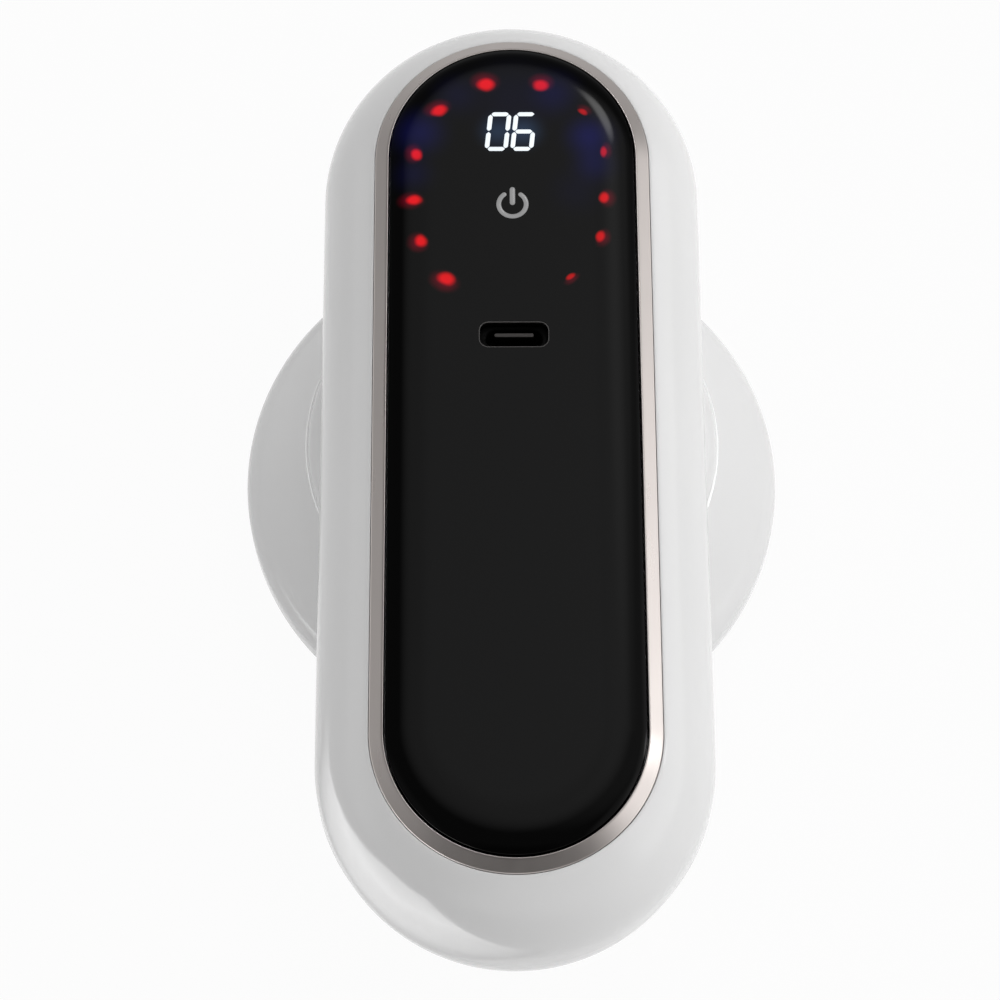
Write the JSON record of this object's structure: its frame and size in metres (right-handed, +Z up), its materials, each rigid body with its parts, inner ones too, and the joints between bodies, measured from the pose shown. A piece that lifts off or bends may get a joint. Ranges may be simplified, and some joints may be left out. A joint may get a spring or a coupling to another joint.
{
  "type": "body massager",
  "caption": "Cordless anti-cellulite massager: a pill-shaped handle with a black display panel over a round head, whose geared plate turns with rollers and a studded pad.",
  "frame": {"origin": "Middle of the handle in plan, at the rollers' lowest line, on which the massager stands.", "axes": "+Y along the handle towards the end with the display, +Z up from the rollers to the panel, +X to the right when the display is read."},
  "size_m": [0.09, 0.1598, 0.0599],
  "materials": {
    "glossy_white": "glossy white moulded plastic",
    "black_glass": "polished black acrylic",
    "satin_silver": "satin silver plating on plastic",
    "black_plastic": "black moulded plastic",
    "grey_plastic": "grey moulded plastic with contacts",
    "red_lamp": "red lamps on a flexible strip",
    "milky_diffuser": "milky light-guiding plastic",
    "dark_foam": "dark foam",
    "green_board": "green glass-epoxy board",
    "chip_black": "black chip package",
    "ribbon_film": "amber film",
    "cell_sleeve": "blue shrink sleeve on a steel cell",
    "nickel_strip": "bare nickel strip",
    "steel": "bare steel",
    "magnet": "dark ferrite",
    "rotor_iron": "laminated iron with windings",
    "bronze": "sintered bronze",
    "gear_white": "natural acetal",
    "grey_felt": "grey felt",
    "grey_silicone": "soft grey silicone",
    "roller_white": "polished white plastic",
    "red_wire": "red insulation",
    "black_wire": "black sleeve"
  },
  "bodies": {
    "housing": {"upper_housing": "glossy_white", "lower_housing": "glossy_white", "bell_housing": "glossy_white", "front_panel": "black_glass", "trim_ring": "satin_silver", "usb_socket": "black_plastic", "battery_tray": "black_plastic", "motor_end_cap": "black_plastic", "gearbox_cover": "black_plastic", "usb_tongue": "grey_plastic", "lamp_strip": "red_lamp", "display_module": "milky_diffuser", "light_ring": "milky_diffuser", "panel_tape": "dark_foam", "touch_pad": "dark_foam", "display_board": "green_board", "control_board": "green_board", "driver_chip": "chip_black", "ribbon_cable": "ribbon_film", "battery_cell_1": "cell_sleeve", "battery_cell_2": "cell_sleeve", "cell_link": "nickel_strip", "housing_screw_1": "steel", "housing_screw_2": "steel", "housing_screw_3": "steel", "motor_can": "steel", "motor_plate": "steel", "motor_screw_1": "steel", "motor_screw_2": "steel", "gearbox_screw_1": "steel", "gearbox_screw_2": "steel", "head_screw_1": "steel", "head_screw_2": "steel", "head_screw_3": "steel", "motor_magnet": "magnet", "output_bush": "bronze", "ring_gear": "gear_white", "dust_seal": "grey_felt", "battery_lead_1": "red_wire", "battery_lead_2": "red_wire", "motor_lead": "black_wire"},
    "motor_rotor": {"motor_rotor": "rotor_iron", "motor_shaft": "steel", "sun_gear": "bronze"},
    "turntable": {"planet_carrier": "steel", "turntable": "glossy_white", "massage_pad": "grey_silicone", "roller_pin_1": "steel", "roller_pin_2": "steel", "roller_pin_3": "steel", "roller_pin_4": "steel", "hub_screw": "steel", "hub_cap": "satin_silver"},
    "planet_1": {"planet_gear_1": "gear_white"},
    "planet_2": {"planet_gear_2": "gear_white"},
    "planet_3": {"planet_gear_3": "gear_white"},
    "roller_1": {"massage_roller_1": "roller_white"},
    "roller_2": {"massage_roller_2": "roller_white"},
    "roller_3": {"massage_roller_3": "roller_white"},
    "roller_4": {"massage_roller_4": "roller_white"}
  },
  "joints": [
    {"name": "turntable_spin", "type": "hinge", "parent": "housing", "child": "turntable", "pos_m": [0, 0.0112, 0.0065], "axis": [0, 0, 1], "continuous": true},
    {"name": "motor_spin", "type": "hinge", "parent": "housing", "child": "motor_rotor", "pos_m": [0, 0.0112, 0.03], "axis": [0, 0, 1], "continuous": true},
    {"name": "planet_1_spin", "type": "hinge", "parent": "turntable", "child": "planet_1", "pos_m": [0, 0.0217, 0.01575], "axis": [0, 0, 1], "continuous": true},
    {"name": "planet_2_spin", "type": "hinge", "parent": "turntable", "child": "planet_2", "pos_m": [-0.00909, 0.00595, 0.01575], "axis": [0, 0, 1], "continuous": true},
    {"name": "planet_3_spin", "type": "hinge", "parent": "turntable", "child": "planet_3", "pos_m": [0.00909, 0.00595, 0.01575], "axis": [0, 0, 1], "continuous": true},
    {"name": "roller_1_spin", "type": "hinge", "parent": "turntable", "child": "roller_1", "pos_m": [0.0296, 0.0112, 0.0065], "axis": [1, 0, 0], "continuous": true},
    {"name": "roller_2_spin", "type": "hinge", "parent": "turntable", "child": "roller_2", "pos_m": [0, 0.0408, 0.0065], "axis": [0, 1, 0], "continuous": true},
    {"name": "roller_3_spin", "type": "hinge", "parent": "turntable", "child": "roller_3", "pos_m": [-0.0296, 0.0112, 0.0065], "axis": [-1, 0, 0], "continuous": true},
    {"name": "roller_4_spin", "type": "hinge", "parent": "turntable", "child": "roller_4", "pos_m": [0, -0.0184, 0.0065], "axis": [0, -1, 0], "continuous": true}
  ],
  "couplings": [
    {"joint": "motor_spin", "follows": "turntable_spin", "ratio": 5},
    {"joint": "planet_1_spin", "follows": "turntable_spin", "ratio": -2.6667},
    {"joint": "planet_2_spin", "follows": "turntable_spin", "ratio": -2.6667},
    {"joint": "planet_3_spin", "follows": "turntable_spin", "ratio": -2.6667}
  ]
}
